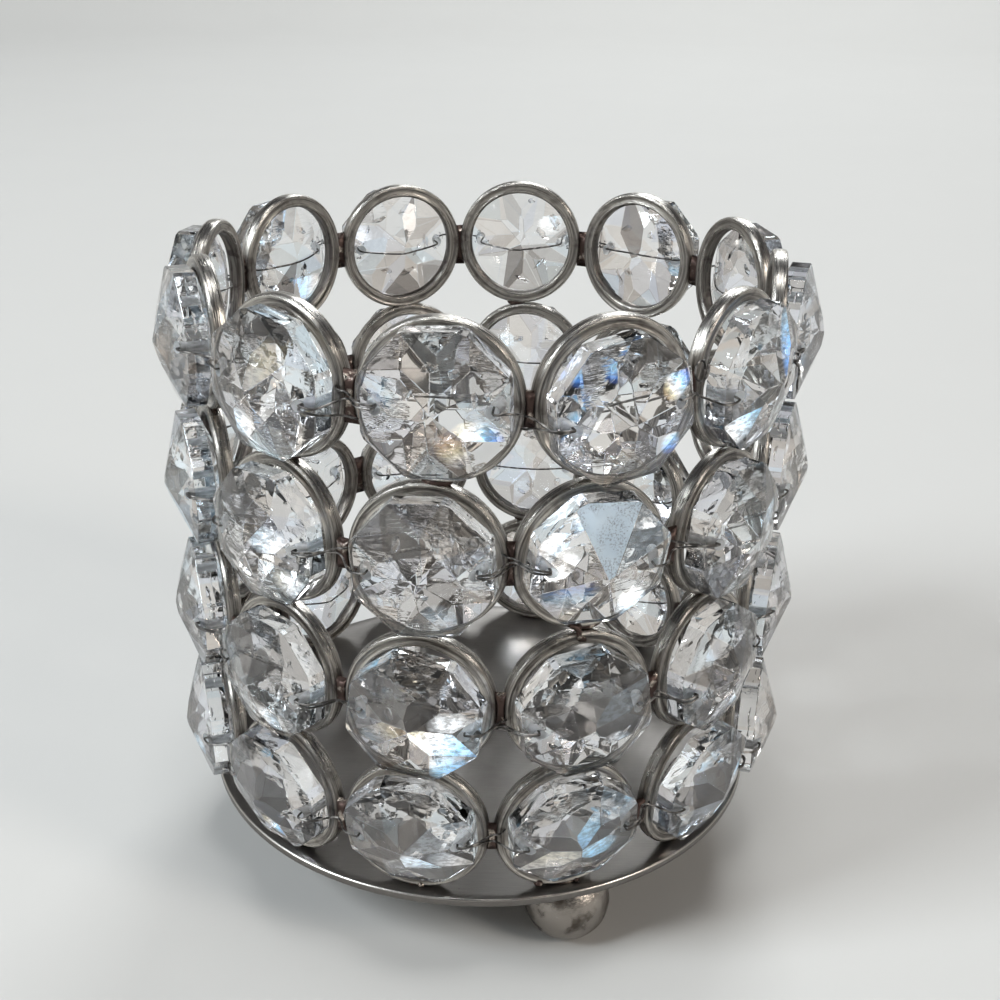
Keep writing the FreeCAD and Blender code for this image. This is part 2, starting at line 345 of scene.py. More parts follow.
def flowed_solder():
    """Solder: browned by flux, with a few bright spots of clean skin."""
    finish = Finish("flowed_solder", Metallic=1.0)
    spot = finish.spot()
    lumps = finish.speckle(spot, 0.8, 4.0, 0.6)
    clean = finish.speckle(spot, 1.3, 3.0).between(0.54, 0.66)
    colour = finish.blend(clean, (0.085, 0.058, 0.050), (0.48, 0.42, 0.36))
    return finish.wear(
        Base_Color=colour,
        Roughness=0.40 - clean * 0.20 + lumps * 0.1,
        Normal=finish.bump(lumps, 0.8, 0.15),
    )


def thin_tie_wire():
    """Thin dark wire with a few bright stretches."""
    finish = Finish("thin_tie_wire", Metallic=1.0)
    patches = finish.speckle(finish.spot(), 0.9, 3.0)
    colour = finish.blend(patches.between(0.45, 0.65), (0.075, 0.070, 0.066), (0.34, 0.32, 0.30))
    return finish.wear(Base_Color=colour, Roughness=0.28 + patches * 0.15, Normal=finish.bump(patches, 0.3, 0.03))


def satin_sheet():
    """Rolled sheet metal: satin, rubbed in rings, with scratches, water marks and a painted highlight along the top
    edge of its rim.
    """
    finish = Finish("satin_sheet", Metallic=1.0)
    spot = finish.spot()
    rolled = finish.speckle(finish.stretched(spot, 0.14, 3.2, 1.0), 0.5, 4.0, 0.65)
    marks = finish.speckle(spot, 7.0, 5.0, 0.6).between(0.45, 0.70)
    specks = finish.speckle(spot, 0.5, 2.0).between(0.70, 0.78)
    satin = finish.blend(rolled, (0.135, 0.125, 0.115), (0.23, 0.215, 0.20))
    marked = finish.blend(marks * 0.2, satin, (0.095, 0.085, 0.075))
    spotted = finish.blend(specks * 0.6, marked, (0.06, 0.05, 0.04))
    # Painted highlight: the rim attribute lightens the top edge of the rim.
    colour = finish.blend(finish.amount("rim"), spotted, (0.62, 0.58, 0.53))
    return finish.wear(
        Base_Color=colour,
        Roughness=0.36 + marks * 0.07 + rolled * 0.08 - finish.amount("rim") * 0.14,
        Normal=finish.bump(rolled * 0.6 + marks * 0.4, 0.35, 0.06),
    )


def dented_ball():
    """Thin polished metal ball, dented and scuffed."""
    finish = Finish("dented_ball_metal", Metallic=1.0)
    spot = finish.spot()
    scuffs = finish.speckle(spot, 1.1, 5.0, 0.65)
    dull = finish.speckle(spot, 3.0, 3.0).between(0.48, 0.66)
    colour = finish.blend(dull, (0.31, 0.28, 0.25), (0.09, 0.075, 0.062))
    return finish.wear(
        Base_Color=colour,
        Roughness=0.15 + dull * 0.20 + scuffs * 0.08,
        Normal=finish.bump(scuffs, 0.8, 0.2),
    )


# ---- mesh helpers


def new_object(name, data):
    made = bpy.data.objects.new(name, data)
    bpy.context.scene.collection.objects.link(made)
    return made


def new_piece(name, mesh, finishes, slot, *nodes):
    """An object made from a mesh that is already in place. It rides on the holder and stands for its CAD nodes."""
    piece = new_object(name, mesh)
    for finish in finishes:
        mesh.materials.append(finish)
    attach(piece, "root")
    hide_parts(*nodes)


def to_mesh(bm, name, smooth=True):
    mesh = bpy.data.meshes.new(name)
    bm.normal_update()
    bm.to_mesh(mesh)
    bm.free()
    for face in mesh.polygons:
        face.use_smooth = smooth
    return mesh


def sweep(bm, path, section, closed):
    """Faces along a path of frames (middle, across, up). The section is a list of (across, up) pairs, or a function
    that gives one for each step."""
    rings = []
    for i, (middle, across, up) in enumerate(path):
        outline = section(i) if callable(section) else section
        rings.append([bm.verts.new(middle + across * x + up * y) for x, y in outline])
    count = len(rings[0])
    along = bm.loops.layers.uv.verify()
    steps = len(rings) if closed else len(rings) - 1
    for i in range(steps):
        here, there = rings[i], rings[(i + 1) % len(rings)]
        for j in range(count):
            k = (j + 1) % count
            face = bm.faces.new((here[j], here[k], there[k], there[j]))
            corners = ((i, j), (i, j + 1), (i + 1, j + 1), (i + 1, j))
            for loop, (u, v) in zip(face.loops, corners):
                loop[along].uv = (u / steps, v / count)
    if not closed:
        bm.faces.new(list(reversed(rings[0])))
        bm.faces.new(rings[-1])
    return rings


def rounded_section(half_wide, half_deep, sides, squareness):
    """A closed outline between an ellipse (2) and a rectangle (large numbers)."""
    points = []
    for i in range(sides):
        angle = math.tau * i / sides
        c, s = math.cos(angle), math.sin(angle)
        x = math.copysign(abs(c) ** (2 / squareness), c) * half_wide
        y = math.copysign(abs(s) ** (2 / squareness), s) * half_deep
        points.append((x, y))
    return points


def grooved(outline, depth, share):
    """The outline with a shallow groove pressed in its front and back. The share is how wide the groove is."""
    reach = max(x for x, _ in outline) * share
    return [(x, y - math.copysign(depth * max(0.0, 1 - (x / reach) ** 2), y)) for x, y in outline]


def wobble(point, size, seed):
    """Smooth noise from -1 to 1 at a point, with patches of a stated size."""
    return noise.noise(point / size + Vector((seed * 7.31, seed * 3.17, seed * 5.73)))


# ---- rings


GROOVE_DEPTH, GROOVE_SHARE = 0.16 * MM, 0.62


def make_ring(bm, row, column, chance):
    """One ring of drawn wire, bent a little out of true."""
    grid = place(row, column)
    turned = grid.to_3x3()
    section = grooved(rounded_section(RING_THICK / 2, RING_DEEP / 2, 32, 3.6), GROOVE_DEPTH, GROOVE_SHARE)
    path = []
    steps = 84
    squash = chance.uniform(-0.005, 0.005)
    for i in range(steps):
        angle = math.tau * i / steps
        c, s = math.cos(angle), math.sin(angle)
        across = Vector((c, s, 0))
        bend = 1 - 0.003 * (1 + wobble(across, 1.1, row * 20 + column))
        reach = (RING_RADIUS - RING_THICK / 2) * bend
        middle = Vector((reach * c * (1 - abs(squash)), reach * s * (1 + min(squash, 0)), 0))
        middle.z = 0.10 * MM * wobble(Vector((c, s, 4)), 1.3, row * 13 + column)
        path.append((grid @ middle, turned @ across, turned @ UP))
    sweep(bm, path, section, True)


def make_ring_rows(finish):
    for row in range(1, ROWS + 1):
        chance = random.Random(100 + row)
        bm = bmesh.new()
        for column in range(1, COLUMNS + 1):
            make_ring(bm, row, column, chance)
        mesh = to_mesh(bm, f"wire_rings_{row}")
        mesh.uv_layers[0].name = "along"
        mark_tarnish_and_painted_shade(mesh, row)
        new_piece(f"wire_rings_{row}", mesh, [finish], "ring_wire", f"ring_row_{row}")


def mark_tarnish_and_painted_shade(mesh, row):
    """Marks the wire near its solder, where flux and tarnish stay, and paints shade on the inner side of the rings
    and along the grooves in their front and back.
    """
    hollow = mesh.attributes.new("hollow", "FLOAT", "POINT")
    joints = [place(row, column + 0.5) for column in range(1, COLUMNS + 1)]
    reach = WALL_RADIUS / math.cos(HALF_COLUMN)
    spots = [joint.translation.xy.normalized() * reach for joint in joints]
    height = row_height(row)
    rings = [place(row, column).inverted() for column in range(1, COLUMNS + 1)]
    per_ring = len(mesh.vertices) // COLUMNS
    for i, vertex in enumerate(mesh.vertices):
        own = rings[i // per_ring] @ vertex.co
        inward = (RING_RADIUS - math.hypot(own.x, own.y)) / RING_THICK
        # Painted shade: the inner side and the middle of the wire's front and back, where the grooves are, are
        # darkened.
        inner = 0.7 if inward > 0.93 else 0.55 * max(0.0, 1 - abs(inward - 0.5) / 0.25)
        side = min((vertex.co.xy - spot).length for spot in spots)
        rise = abs(vertex.co.z - height)
        near = max(0.0, 1 - side / (2.4 * MM)) * max(0.0, 1 - rise / (4.0 * MM))
        hollow.data[i].value = min(1.0, max(inner, 1.4 * near))


# ---- beads

# How each bead sits: sag below its ring's middle in millimetres, lean of its face downwards and turn about its own
# axis in degrees. Those that the photograph shows well are listed, and the rest get small chance values.
SEATS = {
    (1, 12): (0.20, 1.0, -6.0),
    (1, 1): (-0.40, 0.5, 2.0),
    (1, 2): (0.50, 3.0, 9.0),
    (1, 3): (0.25, 1.0, 5.0),
    (1, 4): (0.70, -1.0, 4.0),
    (2, 12): (0.20, 1.0, 4.0),
    (2, 1): (0.10, -1.0, 5.0),
    (2, 2): (-0.45, 9.0, -3.0),
    (2, 3): (0.15, 0.0, -5.0),
    (3, 12): (0.30, 2.0, -4.0),
    (3, 1): (0.45, 2.0, -7.0),
    (3, 2): (0.40, 2.0, 8.0),
    (3, 3): (0.20, 0.0, 9.0),
    (4, 12): (-0.50, 8.0, 0.0),
    (4, 1): (-0.80, 12.0, 3.0),
    (4, 2): (-0.85, 11.5, 6.0),
    (4, 3): (-0.50, 8.0, 2.0),
}
# Beads that have swung a little about the upright on their ties, in degrees.
SWINGS = {(1, 4): -9.5, (2, 4): -7.0, (3, 4): -4.0}

# Facets with a painted colour flash, drawn as emission: painted light. Each flash has its middle on the bead,
# sideways and up in millimetres, the direction that its colour runs in, in degrees, its half length and half width in
# millimetres, the place in the spectrum of its middle, how far the colour runs per millimetre, and its power.
PAINTED_FLASHES = {
    (1, 11): [(-2.4, -1.6, 0, 9.0, 9.0, 0.46, 0.00, 0.22), (2.6, 3.0, 0, 9.0, 9.0, 0.46, 0.00, 0.18)],
    (1, 12): [(1.4, 2.4, 60, 3.4, 2.6, 0.64, 0.03, 0.28), (-1.4, -4.0, 0, 2.6, 1.8, 0.50, 0.03, 1.3)],
    (1, 1): [
        (3.9, -2.6, -20, 2.6, 2.0, 0.44, -0.14, 1.3),
        (1.7, -3.6, -60, 2.2, 1.6, 0.72, -0.12, 0.40),
        (-4.0, 2.0, 20, 3.0, 2.6, 0.40, 0.10, 0.20),
    ],
    (1, 2): [(4.9, 2.0, 30, 1.8, 1.5, 0.44, -0.22, 1.4), (4.0, -3.8, -80, 1.5, 1.2, 0.32, -0.16, 0.8)],
    (1, 3): [(2.6, 2.4, 80, 4.0, 2.0, 0.28, 0.03, 1.0), (-4.6, -3.3, 40, 3.2, 2.4, 0.48, -0.05, 1.3)],
    (2, 1): [(4.0, -3.0, -40, 2.6, 2.0, 0.50, -0.02, 0.6), (1.4, -4.4, 0, 2.2, 1.8, 0.46, 0.00, 0.3)],
    (2, 2): [
        (3.6, -4.2, -60, 2.4, 1.8, 0.50, -0.03, 1.6),
        (3.6, 3.4, 45, 9.0, 9.0, 0.46, 0.00, 0.15),
        (-3.2, -2.8, -80, 3.6, 3.0, 0.34, 0.12, 0.30),
    ],
    (2, 3): [(2.8, 2.2, 45, 2.6, 2.0, 0.44, -0.02, 0.4)],
    (2, 11): [(-2.4, -1.6, 0, 9.0, 9.0, 0.45, 0.00, 0.24), (1.6, -3.6, 0, 9.0, 9.0, 0.42, 0.00, 0.20)],
    (2, 12): [(3.0, 0.6, -20, 2.8, 1.6, 0.50, 0.02, 1.2), (4.3, -4.1, -45, 2.4, 1.8, 0.54, -0.04, 0.7)],
    (3, 1): [
        (3.3, -0.9, -30, 5.0, 4.0, 0.48, -0.05, 1.4),
        (3.8, 1.3, 0, 2.2, 1.8, 0.52, 0.00, 1.2),
        (4.0, -4.4, -30, 2.6, 2.2, 0.38, -0.06, 1.0),
        (-2.3, -1.0, -130, 3.4, 3.0, 0.62, -0.09, 0.26),
    ],
    (3, 2): [(3.4, 1.6, 90, 9.0, 9.0, 0.47, 0.00, 0.13), (2.2, -3.6, -30, 2.4, 2.0, 0.50, -0.03, 0.8)],
    (3, 3): [(1.0, -3.6, -60, 2.0, 1.6, 0.48, -0.04, 0.6)],
    (3, 11): [(-2.4, 1.8, 70, 9.0, 3.0, 0.50, -0.01, 0.7), (1.6, -3.6, 0, 9.0, 9.0, 0.44, 0.00, 0.20)],
    (3, 12): [(1.2, -3.8, -30, 2.4, 1.6, 0.50, -0.04, 0.8)],
    (4, 1): [
        (1.4, -1.8, 0, 4.5, 1.7, 0.47, -0.01, 0.9),
        (4.6, 1.4, 90, 9.0, 8.0, 0.49, -0.005, 0.26),
        (4.8, -2.2, -40, 3.0, 2.2, 0.54, 0.02, 0.6),
    ],
    (4, 2): [
        (1.5, -0.3, 80, 3.6, 2.8, 0.40, 0.02, 0.8),
        (0.7, 2.0, 80, 3.0, 3.0, 0.37, 0.03, 0.55),
        (-3.0, -1.9, -90, 5.0, 5.0, 0.59, -0.02, 0.42),
        (4.4, 3.6, 60, 9.0, 9.0, 0.45, 0.00, 0.16),
    ],
    (4, 3): [(0.4, -3.4, -40, 2.6, 2.0, 0.48, -0.06, 1.0), (2.8, 1.6, 30, 2.0, 1.4, 0.44, -0.06, 0.6)],
    (4, 12): [(1.8, -3.4, -30, 2.2, 1.4, 0.40, -0.16, 0.9)],
    (1, 9): [(-3.1, -4.0, 180, 3.2, 2.6, 0.36, 0.08, 1.1)],
    (1, 8): [(4.4, 0.8, 0, 2.2, 2.0, 0.52, 0.00, 0.7)],
    (1, 7): [(-3.2, 2.2, 120, 2.4, 1.8, 0.48, -0.04, 0.6)],
}
# Facets tinted dark to paint in the dark surroundings seen through them: painted shade. Their places are as above.
# Beads of the rear columns are seen from inside, so theirs are facets of the inner face.
REAR_COLUMNS = range(6, 10)
PAINTED_DARK_TINT = (0.20, 0.18, 0.17)
PAINTED_DARK_FACETS = {
    (1, 6): [(0.0, 3.4)],
    (1, 7): [(0.0, -4.0)],
    (1, 8): [(-1.1, 4.2), (-1.1, -3.8)],
    (1, 9): [(1.5, -1.0)],
    (3, 1): [(0.6, 2.0)],
    (3, 2): [(-2.6, 1.0)],
    (3, 3): [(-3.2, 1.4)],
    (4, 12): [(-2.7, 1.2)],
    (4, 1): [(-2.0, 0.9), (-2.3, -1.2)],
    (4, 2): [(-1.9, 1.1)],
    (4, 3): [(-4.5, 0.8)],
}
# Beads with a facet left unpolished, with its place as above, and beads that hold more cracks than the rest.
MILKY = {(2, 2): (0.4, 3.6)}
CRACKED = {(1, 2): 16, (2, 1): 14, (3, 1): 11, (3, 2): 12, (4, 1): 11, (4, 2): 12, (4, 3): 12}
# The tints that a facet can have, and how often. They differ at random, and the cool, warm and grey ones also paint
# in the window light and brown-grey surroundings that the facets show: painted reflection.
TINTS_AND_PAINTED_REFLECTIONS = [
    ((1.00, 1.00, 1.00), 6),
    ((0.84, 0.87, 0.97), 3),
    ((0.82, 0.93, 1.00), 2),
    ((0.86, 0.79, 0.73), 3),
    ((0.58, 0.55, 0.53), 3),
]
# The turn from one facet to the next, and how much the wide facet is turned, made steeper and sunk.
FACET_TURN = 45.0
WIDE_TURN, WIDE_LIFT, WIDE_SINK = 5.0, 0.9, 0.22


def seat(row, column):
    """Where a bead sits: its own X runs from hole to hole, Z out of the holder."""
    chance = random.Random(row * 90 + column)
    guess = (chance.uniform(0.0, 0.35), chance.uniform(-1.0, 2.5), chance.uniform(-6, 6))
    sag, lean, twist = SEATS.get((row, column), guess)
    grid = place(row, column, BEAD_BACK + HALF_GIRDLE - 0.1 * MM)
    tip = Matrix.Translation((0, -sag * MM, 0)) @ Matrix.Rotation(math.radians(lean), 4, "X")
    swing = Matrix.Rotation(math.radians(SWINGS.get((row, column), 0.0)), 4, "Y")
    return grid @ tip @ swing @ Matrix.Rotation(math.radians(twist), 4, "Z")


def side_planes(chance):
    """The planes of a bead's eight sides and of its eight slightly blunted corners."""
    planes = []
    for k in range(8):
        for offset, reach in ((0.0, 1.0), (FACET_TURN / 2, 1.064)):
            turn = math.radians(FACET_TURN * k + offset + chance.uniform(-1.6, 1.6))
            flat = heading(turn)
            planes.append((flat * BEAD_ACROSS / 2 * reach * chance.uniform(0.985, 1.0), flat))
    return planes


def facet_planes(chance, sign, over_sides):
    """The planes of one face of a bead: eight long facets that meet in its middle and eight short ones at its rim.
    The long facets stand over the bead's corners, or over its sides, and then there are no short ones and the upper
    facet is wider than the rest."""
    narrow = math.cos(math.radians(FACET_TURN / 2))
    side, corner = (0.0, BEAD_ACROSS / 2), (FACET_TURN / 2, BEAD_ACROSS / 2 / narrow)
    (long_turn, long_reach), (short_turn, short_reach) = (side, corner) if over_sides else (corner, side)
    slope = BEAD_CROWN / long_reach
    star_rise = BEAD_CROWN - BEAD_STAR * narrow * slope
    kinds = [(long_turn, long_reach, slope)]
    if not over_sides:
        kinds.append((short_turn, short_reach, star_rise / (short_reach - BEAD_STAR)))
    planes = []
    for k in range(8):
        for offset, reach, rise in kinds:
            wide = over_sides and k == 2
            turn = math.radians(FACET_TURN * k + offset + chance.uniform(-2.2, 2.2) + wide * WIDE_TURN)
            lift = math.atan(rise) + math.radians(chance.uniform(-1.2, 0.6) + wide * WIDE_LIFT)
            out = heading(turn)
            normal = out * math.sin(lift) + Vector((0, 0, sign * math.cos(lift)))
            level = HALF_GIRDLE + (chance.uniform(-0.12, 0.0) - wide * WIDE_SINK) * MM
            planes.append((out * reach + Vector((0, 0, sign * level)), normal))
    return planes


def cut_bead(chance, over_sides):
    """A bead's glass, ground plane by plane from a block. Its edges are blunted."""
    bm = bmesh.new()
    bmesh.ops.create_cube(bm, size=BEAD_ACROSS * 1.3)
    planes = side_planes(chance) + facet_planes(chance, 1, over_sides) + facet_planes(chance, -1, False)
    for point, normal in planes:
        grind(bm, point, normal)
    bmesh.ops.remove_doubles(bm, verts=bm.verts[:], dist=0.10 * MM)
    bmesh.ops.recalc_face_normals(bm, faces=bm.faces[:])
    sharp = [e for e in bm.edges if e.calc_face_angle(0.0) > math.radians(4)]
    bmesh.ops.bevel(bm, geom=sharp, offset=0.05 * MM, segments=1, profile=0.5, affect="EDGES", clamp_overlap=True)
    bmesh.ops.remove_doubles(bm, verts=bm.verts[:], dist=0.004 * MM)
    return bm


def grind(bm, point, normal):
    """Takes off what stands proud of a plane and closes the cut with one flat facet."""
    if all((vertex.co - point).dot(normal) < TOUCH for vertex in bm.verts):
        return
    everything = bm.verts[:] + bm.edges[:] + bm.faces[:]
    bmesh.ops.bisect_plane(bm, geom=everything, dist=TOUCH, plane_co=point, plane_no=normal, clear_outer=True)
    rim = list(dict.fromkeys(vertex for edge in bm.edges if len(edge.link_faces) < 2 for vertex in edge.verts))
    if len(rim) < 3:
        return
    middle = sum((vertex.co for vertex in rim), Vector()) / len(rim)
    side = normal.orthogonal().normalized()
    up = normal.cross(side)
    rim.sort(key=lambda v: math.atan2((v.co - middle).dot(up), (v.co - middle).dot(side)))
    bm.faces.new(rim)


def drill(mesh, name):
    """The bead's mesh with its two holes drilled through."""
    body = new_object(name + "_blank", mesh)
    bm = bmesh.new()
    for side in (-1, 1):
        grid = Matrix.Translation((side * HOLE_OFFSET, 0, 0))
        size = HOLE_RADIUS
        bmesh.ops.create_cone(bm, cap_ends=True, segments=20, radius1=size, radius2=size, depth=12 * MM, matrix=grid)
    cutter = new_object(name + "_drill", to_mesh(bm, name + "_drill"))
    step = body.modifiers.new("drill", "BOOLEAN")
    step.operation = "DIFFERENCE"
    step.solver = "EXACT"
    step.object = cutter
    bpy.context.view_layer.update()
    depsgraph = bpy.context.evaluated_depsgraph_get()
    drilled = bpy.data.meshes.new_from_object(body.evaluated_get(depsgraph))
    drilled.name = name
    for helper in (body, cutter):
        used = helper.data
        bpy.data.objects.remove(helper)
        bpy.data.meshes.remove(used)
    return drilled


def hole_distance(point):
    """How far a point of a bead is from the nearer hole's axis."""
    return min(math.hypot(point.x - side * HOLE_OFFSET, point.y) for side in (-1, 1))


def flaw_spots(chance, count):
    """Where a bead's cracks are, how long and wide: some loose in the glass, some small ones round the holes."""
    for _ in range(count):
        turn, reach = chance.uniform(0, math.tau), chance.uniform(2.2, 5.2) * MM
        middle = Vector((reach * math.cos(turn), reach * math.sin(turn), chance.uniform(-0.6, 0.6) * MM))
        long, wide = chance.uniform(0.4, 1.2) * MM, chance.uniform(0.2, 0.6) * MM
        if hole_distance(middle) > HOLE_RADIUS + long + 0.1 * MM:
            yield middle, long, wide, turn
    for side in (-1, 1):
        for _ in range(4):
            turn, long = chance.uniform(0, math.tau), chance.uniform(0.16, 0.34) * MM
            out = heading(turn) * (HOLE_RADIUS + long + chance.uniform(0.08, 0.3) * MM)
            middle = Vector((side * HOLE_OFFSET, 0, chance.uniform(-0.8, 0.8) * MM)) + out
            if abs(middle.x) + long < BEAD_ACROSS / 2 - 0.15 * MM:
                yield middle, long, long * chance.uniform(0.5, 1.0), turn


def add_flaws(mesh, chance, count):
    """Small crooked cracks inside the glass, as thin closed hollows."""
    bm = bmesh.new()
    bm.from_mesh(mesh)
    for middle, long, wide, turn in flaw_spots(chance, count):
        tilt = Matrix.Rotation(turn + chance.uniform(0.9, 2.2), 3, "Z")
        tilt = tilt @ Matrix.Rotation(chance.uniform(-0.5, 0.5), 3, "X")
        made = bmesh.ops.create_icosphere(bm, subdivisions=1, radius=1.0)["verts"]
        for vertex in made:
            at = vertex.co + Vector((chance.uniform(-0.3, 0.3), chance.uniform(-0.3, 0.3), 0))
            bend = 0.18 * at.x * at.x * long
            vertex.co = middle + tilt @ Vector((at.x * long, at.y * wide, at.z * 0.06 * MM + bend))
        faces = list({face for vertex in made for face in vertex.link_faces})
        bmesh.ops.reverse_faces(bm, faces=faces)
    bm.to_mesh(mesh)
    bm.free()


def is_hole_wall(face):
    return hole_distance(face.center) < HOLE_RADIUS * 1.03 and abs(face.normal.z) < 0.2


def nearest_facet(mesh, across, up, side=1):
    """The facet that best holds a spot on the bead, given in millimetres. Large facets go first. The side is 1 for
    the outer face and -1 for the inner one."""
    aim = Vector((across, up)) * MM
    facets = [face for face in mesh.polygons if face.normal.z * side > 0.3]
    return max(facets, key=lambda face: face.area / ((face.center.xy - aim).length + 0.8 * MM)).index


def chance_flash(chance):
    """A weak painted flash for a bead that the photograph doesn't show well."""
    turn = chance.uniform(0, math.tau)
    across, up = 3.6 * math.cos(turn), 3.6 * math.sin(turn)
    direction, hue, run = chance.uniform(0, 360), chance.uniform(0.35, 0.55), chance.uniform(-0.12, 0.12)
    return across, up, direction, 2.2, 1.6, hue, run, 0.45


def light_facet(mesh, face, flash):
    """Writes a painted flash's own coordinates on a facet, for the glass to draw it with as emission."""
    across, up, direction, long, wide, hue, run, power = flash
    aim = Vector((math.cos(math.radians(direction)), math.sin(math.radians(direction))))
    for i in face.loop_indices:
        away = mesh.vertices[mesh.loops[i].vertex_index].co.xy / MM - Vector((across, up))
        ahead, aside = away.dot(aim), away.dot(Vector((-aim.y, aim.x)))
        values = {"along": ahead / long, "beside": aside / wide, "hue": hue + run * ahead, "power": power}
        for label, value in values.items():
            mesh.attributes["flash_" + label].data[i].value = value


def colour_facets(mesh, row, column, chance):
    """Gives each facet a tint, partly painted reflection, a few facets a painted colour flash, and some facets
    painted shade.
    """
    for label in ("along", "beside", "hue", "power"):
        mesh.attributes.new("flash_" + label, "FLOAT", "CORNER")
    tint = mesh.color_attributes.new("tint", "FLOAT_COLOR", "CORNER")
    for face in mesh.polygons:
        face.material_index = 1 if is_hole_wall(face) else 0
        face.use_smooth = face.material_index == 1
        shade = chance.choices(*zip(*TINTS_AND_PAINTED_REFLECTIONS))[0]
        for i in face.loop_indices:
            tint.data[i].color = (*shade, 1.0)
    for flash in PAINTED_FLASHES.get((row, column)) or [chance_flash(chance)]:
        light_facet(mesh, mesh.polygons[nearest_facet(mesh, flash[0], flash[1])], flash)
    side = -1 if column in REAR_COLUMNS else 1
    # Painted shade: these facets get the dark tint.
    for across, up in PAINTED_DARK_FACETS.get((row, column), []):
        for i in mesh.polygons[nearest_facet(mesh, across, up, side)].loop_indices:
            tint.data[i].color = (*PAINTED_DARK_TINT, 1.0)
    if (row, column) in MILKY:
        mesh.polygons[nearest_facet(mesh, *MILKY[row, column])].material_index = 2


def make_bead(row, column, finishes):
    chance = random.Random(row * 50 + column)
    name = f"glass_bead_{row}_{column:02d}"
    mesh = drill(to_mesh(cut_bead(chance, (row, column) in MILKY), name, smooth=False), name)
    add_flaws(mesh, chance, CRACKED.get((row, column), chance.randint(5, 9)))
    colour_facets(mesh, row, column, chance)
    mesh.transform(seat(row, column))
    new_piece(name, mesh, finishes, "bead_glass", f"bead_row{row}_col{column:02d}")


# ---- solder


def make_web(bm, grid, half_gap, tall, deep, chance):
    """Solder between two rings that stand side by side. It fills the notches above and below the place where the
    rings come nearest, climbs along the rings and is a little hollow in its middle."""
    seed = chance.randint(1, 500)
    steps = 18
    path, widths, outlines = [], [], []
    for i in range(steps + 1):
        share = -1 + 2 * i / steps
        rise = tall / 2 * share
        widths.append(RING_RADIUS + half_gap - math.sqrt(RING_RADIUS**2 - rise**2) + 0.20 * MM)
        outlines.append(rounded_section(widths[i], deep * math.sqrt(max(0.03, 1 - share**4)), 16, 3.2))
        path.append((Vector((0, rise, 0)), Vector((1, 0, 0)), UP))
    for wide, ring in zip(widths, sweep(bm, path, outlines.__getitem__, False)):
        for vertex in ring:
            side = abs(vertex.co.x) / wide
            vertex.co.y *= 0.80 + 0.30 * side * side
            vertex.co.z *= (1 - 0.22 * (1 - side) ** 2) * (1 + 0.12 * wobble(vertex.co, 0.9 * MM, seed))
            vertex.co = grid @ vertex.co


def make_drop(bm, middle, out, wide, deep, tall, seed):
    """A small lump of solder."""
    turned = Matrix((out.cross(UP).normalized(), out, UP)).transposed()
    made = bmesh.ops.create_icosphere(bm, subdivisions=2, radius=1.0)
    for vertex in made["verts"]:
        at = vertex.co
        grow = 1 + 0.25 * wobble(at, 0.8, seed)
        vertex.co = middle + turned @ Vector((at.x * wide * grow, at.y * deep * grow, at.z * tall * grow))


# Drips of solder that the photograph shows: row, column, sideways and up from the ring's middle, and size.
DRIPS = [(3, 2, -4.6, -6.3, 0.42), (3, 2, 3.4, -7.0, 0.34), (4, 2, -3.0, -7.2, 0.50), (4, 2, 1.4, -7.7, 0.34)]
DRIPS += [(4, 1, 0.6, -7.7, 0.36), (2, 2, -0.9, -7.7, 0.40)]


def make_solder(finish):
    chance = random.Random(7)
    bm = bmesh.new()
    for row, column in every_ring():
        grid = place(row, column + 0.5, JOINT_OUT) @ Matrix.Translation((0, chance.uniform(-0.5, 0.2) * MM, 0))
        closer = math.radians(nudge(row, column)[0] - nudge(row, column + 1)[0]) / 2
        half_gap = JOINT_GAP - WALL_RADIUS * closer
        make_web(bm, grid, half_gap, chance.uniform(3.0, 5.0) * MM, chance.uniform(0.58, 0.70) * MM, chance)
    for row, column in every_ring():
        grid = place(row, column)
        out = grid.to_3x3() @ UP
        foot = grid @ Vector((chance.uniform(-0.4, 0.4) * MM, -RING_RADIUS, 0))
        wide, deep = chance.uniform(0.9, 1.7) * MM, chance.uniform(0.5, 0.8) * MM
        make_drop(bm, foot, out, wide, deep, chance.uniform(0.30, 0.55) * MM, chance.randint(1, 500))
    for row, column, x, y, size in DRIPS:
        out = place(row, column).to_3x3() @ UP
        spot = place(row, column) @ (Vector((x, y, 0.75)) * MM)
        make_drop(bm, spot, out, size * MM, size * 0.8 * MM, size * 0.8 * MM, chance.randint(1, 500))
    # A crooked bar of solder between two rings, one above the other.
    upper, lower = place(2, 2), place(3, 2)
    bar = [upper @ (Vector((-1.9, -7.3, 0.8)) * MM), upper @ (Vector((-1.0, -7.9, 1.05)) * MM)]
    bar += [lower @ (Vector((-0.4, 7.5, 1.0)) * MM), lower @ (Vector((0.3, 7.1, 0.7)) * MM)]
    make_tube(bm, smooth_path(bar, 6), 0.30 * MM, 10)
    new_piece("solder_lumps", to_mesh(bm, "solder_lumps"), [finish], "solder", "solder_joints")


# ---- tie wires


def smooth_path(stops, steps):
    """Points along a smooth curve through the stops."""
    out = []
    for i in range(len(stops) - 1):
        before = stops[max(i - 1, 0)]
        here, there = stops[i], stops[i + 1]
        after = stops[min(i + 2, len(stops) - 1)]
        for k in range(steps):
            t = k / steps
            a = 2 * here
            b = (there - before) * t
            c = (2 * before - 5 * here + 4 * there - after) * t * t
            d = (3 * here - before - 3 * there + after) * t**3
            out.append((a + b + c + d) / 2)
    out.append(stops[-1])
    return out


